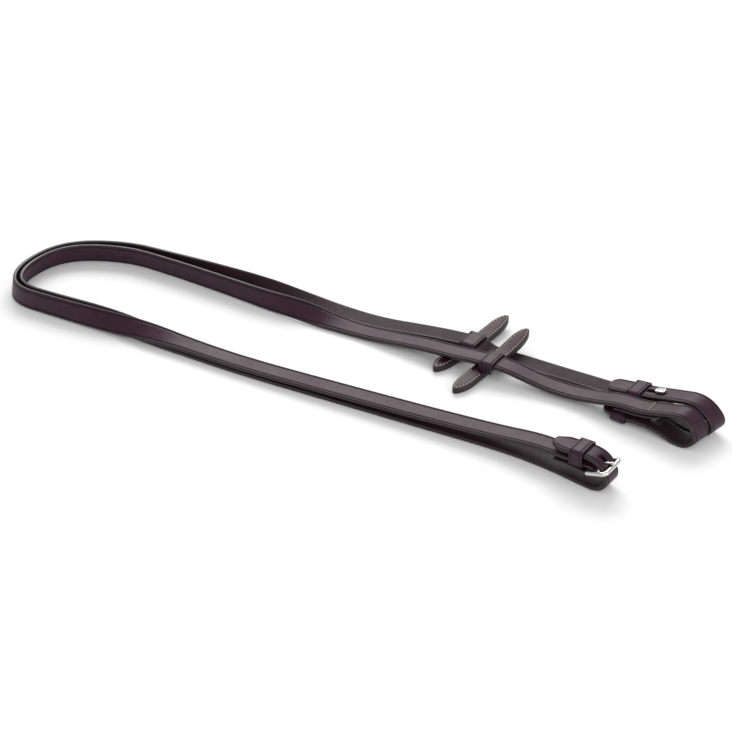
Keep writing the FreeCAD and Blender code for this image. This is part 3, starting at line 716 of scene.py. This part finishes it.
# ---- bit ends --------------------------------------------------------------------------------
def bit_end(name, strap):
    """Lining, keeper and the stitches across the strap at one bit end."""
    low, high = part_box("billet_lining_" + name)
    middle = (low + high) / 2.0
    start = strap.nearest(Vector((high.x, middle.y, middle.z)), *LINING_START_SEARCH)
    stop = strap.nearest(Vector((low.x, middle.y, middle.z)), *LINING_STOP_SEARCH)
    lift = (STRAP_THICKNESS / 2.0 + LINING_GAP + LINING_THICKNESS / 2.0) * MM
    stations = [(p - o * lift, a, -o) for p, a, o in strap.between(start, stop)]
    lining = sweep("lining_" + name, stations,
                   flat_section(LINING_WIDTH, LINING_THICKNESS, LINING_CREASE, LINING_DEPTH))
    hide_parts("billet_lining_" + name)

    centre = centre_of("bit_keeper_" + name)
    _, across, out = strap.at(strap.nearest(centre, *KEEPER_SEARCH))
    ring = loop_stations(centre, out.cross(across).normalized(), across,
                         STRAP_WIDTH + 2 * BIT_KEEPER_PLAY + BIT_KEEPER_WALL,
                         BIT_KEEPER_HEIGHT + BIT_KEEPER_WALL, BIT_KEEPER_CORNER)
    keeper = sweep("keeper_" + name, ring,
                   flat_section(BIT_KEEPER_LENGTH, BIT_KEEPER_WALL, NARROW_CREASE, NARROW_DEPTH),
                   closed=True)
    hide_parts("bit_keeper_" + name)

    row = strap.nearest(centre_of("lining_stitching_" + name), *STITCH_ROW_SEARCH)
    point, across, out = strap.at(row)
    face = point + out * (STRAP_THICKNESS / 2.0 * MM)
    first = (1 - ROW_STITCHES) / 2.0
    seats = [(face + across * ((first + k) * ROW_PITCH * MM), out.cross(across).normalized(), out)
             for k in range(ROW_STITCHES)]
    threads = stitches("lining_threads_" + name, seats)
    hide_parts("lining_stitching_" + name)
    for obj, slot in ((lining, "bridle_leather"), (keeper, "bridle_leather"), (threads, "thread")):
        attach(obj, "reins")
    return [lining, keeper, threads, frame["nodes"]["hook_stud_" + name]]


right_pieces = bit_end("right", right)
left_pieces = bit_end("left", left)

# ---- centre buckle ---------------------------------------------------------------------------
keeper_along = (BUCKLE_ALONG * math.cos(math.radians(KEEPER_PITCH))
                + UP * math.sin(math.radians(KEEPER_PITCH)))
ring = loop_stations(centre_of("buckle_keeper"), keeper_along, BUCKLE_ACROSS,
                     STRAP_WIDTH + 2 * KEEPER_PLAY + KEEPER_WALL,
                     KEEPER_HEIGHT + KEEPER_WALL, KEEPER_CORNER)
centre_keeper = sweep("keeper_centre", ring,
                      flat_section(KEEPER_LENGTH, KEEPER_WALL, NARROW_CREASE, NARROW_DEPTH),
                      closed=True)
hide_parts("buckle_keeper")

chape_seats = []
for edge in (-1, 1):
    for back in CHAPE_STITCH_PLACES:
        point, across, out = left.at(left.length - back * MM)
        point = point + out * (CHAPE_SHARE * STRAP_THICKNESS / 2.0 * MM)
        point = point + across * (edge * CHAPE_STITCH_OUT * MM)
        chape_seats.append((point, out.cross(across).normalized(), out))
chape_threads = stitches("chape_threads", chape_seats)
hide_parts("chape_stitching")
for obj in (centre_keeper, chape_threads):
    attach(obj, "reins")
left_pieces += [centre_keeper, chape_threads]


# ---- rein stops ------------------------------------------------------------------------------
def lie_at(name, y):
    """Height of a tab's underside at a place along it, eased over a few millimetres."""
    places, heights = zip(*TAB_LIE[name])
    return float(np.mean([np.interp(y + shift, places, heights) for shift in EASING]))


def tab_half_width(y, half_length, half_width):
    """Half the tab's width at y, drawn in to a rounded point at each end."""
    left_over = half_length - abs(y)
    if left_over >= TAB_POINT_REACH:
        return half_width
    share = max(0.0, 1.0 - left_over / TAB_POINT_REACH)
    return half_width * (1.0 - share ** 2.0) ** 0.60


def tab_rows(inset, count=64):
    """Rows of (half width, y) from one end of the tab to the other."""
    half_length, half_width = TAB_LENGTH / 2.0 - inset, TAB_WIDTH / 2.0 - inset
    rows = []
    for k in range(count + 1):
        angle = math.pi * (k / count - 0.5)
        y = half_length * (0.35 * math.sin(angle) + 0.65 * (2.0 * k / count - 1.0))
        if k in (0, count):
            rows.append((0.0, math.copysign(half_length, y)))
        else:
            rows.append((tab_half_width(y, half_length, half_width), y))
    return rows


def outline(inset, count=64):
    """(x, y) all round the tab, from one end up one side and down the other."""
    rows = tab_rows(inset, count)
    return rows + [(-w, y) for w, y in reversed(rows[1:-1])]


def tab_mesh(name, centre, spin, profile, side):
    """One layer; profile is (inset, height, slot) from the bottom face up to the top face."""
    verts, faces, slots = [], [], []
    rings = []
    for inset, height, _ in profile:
        loop = outline(inset)
        rings.append(len(verts))
        for x, y in loop:
            verts.append(centre + spin @ (Vector((x, y, lie_at(side, y) + height)) * MM))
        size = len(loop)
    for k in range(len(profile) - 1):
        a, b = rings[k], rings[k + 1]
        for i in range(size):
            j = (i + 1) % size
            faces.append((a + i, a + j, b + j, b + i))
            slots.append(profile[k + 1][2])
    count = size // 2
    for start, slot in ((rings[0], FLESH_SLOT), (rings[-1], GRAIN_SLOT)):
        for i in range(count):
            other, onward = (size - i) % size, (size - i - 1) % size
            corners = [start + i, start + i + 1, start + onward, start + other]
            corners = [c for n, c in enumerate(corners) if c not in corners[:n]]
            faces.append(tuple(corners))
            slots.append(slot)
    return new_object(name, verts, faces, LEATHERS, slots)


def outline_walk(inset):
    """Evenly spaced (x, y, heading) round the tab for its stitches."""
    loop = outline(inset, 240)
    loop = np.array(loop + loop[:1])
    gaps = np.hypot(*np.diff(loop, axis=0).T)
    run = np.concatenate([[0.0], np.cumsum(gaps)])
    count = round(run[-1] / TAB_STITCH_PITCH)
    marks = (np.arange(count) + 0.5) * run[-1] / count
    places = []
    for mark in marks:
        x, y = (np.interp(mark, run, loop[:, i]) for i in (0, 1))
        ahead = [np.interp((mark + 0.4) % run[-1], run, loop[:, i]) for i in (0, 1)]
        places.append((x, y, math.atan2(ahead[1] - y, ahead[0] - x)))
    return places


def band_stations(centre, along, across, width, top, feet, corner, steps=8):
    """Stations of an arch over a strap; top and feet are heights above the floor, in mm."""
    w = width / 2.0
    places = [(centre + (across * w + UP * z) * MM, along, across)
              for z in (feet[0], (feet[0] + top - corner) / 2.0)]
    for sign, base in ((1, 0), (-1, 90)):
        for k in range(steps + 1):
            angle = math.radians(base + 90.0 * k / steps)
            out = across * math.cos(angle) + UP * math.sin(angle)
            point = centre + (across * (sign * (w - corner)) + UP * (top - corner)
                              + out * corner) * MM
            places.append((point, along, out))
    places += [(centre + (-across * w + UP * z) * MM, along, -across)
               for z in ((feet[1] + top - corner) / 2.0, feet[1])]
    return places


# a tab layer's edge from its bottom face up to its top face: inset, height above the underside
# of the tab, material slot
UNDER_PROFILE = (
    (0.7, 0.0, FLESH_SLOT),
    (0.25, 0.15, EDGE_SLOT),
    (0.0, 0.6, EDGE_SLOT),
    (0.0, TAB_LAYER - 0.5, EDGE_SLOT),
    (0.12, TAB_LAYER - 0.12, EDGE_SLOT),
    (0.4, TAB_LAYER - 0.02, EDGE_SLOT),
)
FACE_PROFILE = (
    (0.4, TAB_LAYER + 0.02, EDGE_SLOT),
    (0.1, TAB_LAYER + 0.14, EDGE_SLOT),
    (0.0, TAB_LAYER + 0.6, EDGE_SLOT),
    (0.05, 2 * TAB_LAYER - 0.65, EDGE_SLOT),
    (0.28, 2 * TAB_LAYER - 0.25, EDGE_SLOT),
    (0.7, 2 * TAB_LAYER - 0.04, GRAIN_SLOT),
    (TAB_STITCH_INSET - 0.6, 2 * TAB_LAYER, GRAIN_SLOT),
    # the stitch groove takes the crease material: painted shade in the groove
    (TAB_STITCH_INSET, 2 * TAB_LAYER - 0.3, CREASE_SLOT),
    (TAB_STITCH_INSET + 0.6, 2 * TAB_LAYER + 0.02, CREASE_SLOT),
    (TAB_STITCH_INSET + 1.6, 2 * TAB_LAYER + 0.12, GRAIN_SLOT),
    (TAB_STITCH_INSET + 2.6, 2 * TAB_LAYER + 0.16, GRAIN_SLOT),
)


def build_stop(name, body):
    """Two stitched layers and the band that holds the strap."""
    low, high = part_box("stop_bottom_layer_" + name)
    centre = (low + high) / 2.0
    centre.z = 0.0
    spin = Matrix.Rotation(math.radians(-TAB_SKEW), 3, "Z")
    bottom = tab_mesh("stop_under_" + name, centre, spin, UNDER_PROFILE, name)
    top = tab_mesh("stop_face_" + name, centre, spin, FACE_PROFILE, name)

    band_low, band_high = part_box("stop_band_" + name)
    over = (band_low + band_high) / 2.0
    turn = Matrix.Rotation(math.radians(-BAND_TURN), 3, "Z")
    along, across = turn @ Vector((1, 0, 0)), turn @ Vector((0, 1, 0))
    width = STRAP_WIDTH + 2 * BAND_PLAY + BAND_WALL
    local = (over - centre).y / MM / math.cos(math.radians(TAB_SKEW))
    feet = [lie_at(name, local + edge * width / 2.0) + 2 * TAB_LAYER - BAND_SUNK
            for edge in (1, -1)]
    top_line = band_high.z / MM - BAND_WALL / 2.0
    arch = band_stations(Vector((over.x, over.y, 0.0)), along, across, width, top_line, feet,
                         BAND_CORNER)
    section = flat_section((band_high.x - band_low.x) / MM, BAND_WALL, BAND_CREASE, NARROW_DEPTH)
    band = sweep("stop_loop_" + name, arch, section)

    reach = width / 2.0 + TAB_STITCH_GAP
    seats = []
    for x, y, heading in outline_walk(TAB_STITCH_INSET):
        if abs(y - local) < reach:
            continue
        rise = lie_at(name, y) + 2 * TAB_LAYER - TAB_STITCH_SUNK
        slope = (lie_at(name, y + 1.0) - lie_at(name, y - 1.0)) / 2.0
        point = centre + spin @ (Vector((x, y, rise)) * MM)
        along = spin @ Vector((math.cos(heading), math.sin(heading), math.sin(heading) * slope))
        seats.append((point, along.normalized(), (spin @ Vector((0, -slope, 1))).normalized()))
    threads = stitches("stop_threads_" + name, seats)
    for obj, node, slot in ((bottom, "stop_bottom_layer_", "bridle_leather"),
                            (top, "stop_top_layer_", "bridle_leather"),
                            (band, "stop_band_", "bridle_leather"),
                            (threads, "stop_stitching_", "thread")):
        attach(obj, body)
        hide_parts(node + name)


build_stop("left", "rein_stop_left")
build_stop("right", "rein_stop_right")

# ---- metal -----------------------------------------------------------------------------------
STUD_RIM, RIM_STEPS, RIM_ANGLE = 0.5 * MM, 3, math.radians(50.0)
for node in ("buckle_frame", "buckle_tongue", "hook_stud_left", "hook_stud_right"):
    obj = frame["nodes"][node]
    obj.data.materials.clear()
    obj.data.materials.append(STEEL)
    if node.startswith("hook_stud"):
        rim = obj.modifiers.new("rim", "BEVEL")
        rim.width = STUD_RIM
        rim.segments = RIM_STEPS
        rim.angle_limit = RIM_ANGLE

# ---- floor and light -------------------------------------------------------------------------
FLOOR_HALF, FLOOR_LEVEL = 6, -0.0003
corners = [(sx * FLOOR_HALF, sy * FLOOR_HALF, FLOOR_LEVEL)
           for sx, sy in ((-1, -1), (1, -1), (1, 1), (-1, 1))]
floor = new_object("floor", corners, [(0, 1, 2, 3)], (floor_material(),), smooth=False)

world = bpy.data.worlds.new("studio")
world.use_nodes = True
sky = world.node_tree.nodes["Background"]
sky.inputs["Color"].default_value = (1.0, 1.0, 1.0, 1.0)
sky.inputs["Strength"].default_value = 0.54
scene.world = world
scene.view_settings.view_transform = "Standard"


def softbox(name, location, target, size, power):
    """A rectangular lamp, in metres and watts, turned towards its target."""
    data = bpy.data.lights.new(name, "AREA")
    data.shape = "RECTANGLE"
    data.size, data.size_y = size
    data.energy = power
    lamp = bpy.data.objects.new(name, data)
    lamp.location = location
    lamp.rotation_mode = "QUATERNION"
    lamp.rotation_quaternion = (Vector(target) - Vector(location)).to_track_quat("-Z", "Y")
    scene.collection.objects.link(lamp)


softbox("key", (-0.8, 1.5, 1.45), (0, 0, 0), (1.9, 1.1), 37.0)
softbox("fill", (0.9, -1.5, 1.3), (0, 0, 0), (1.2, 1.2), 9.0)
softbox("side", (1.5, -0.25, 0.6), (0.25, 0, 0), (0.9, 0.6), 5.0)
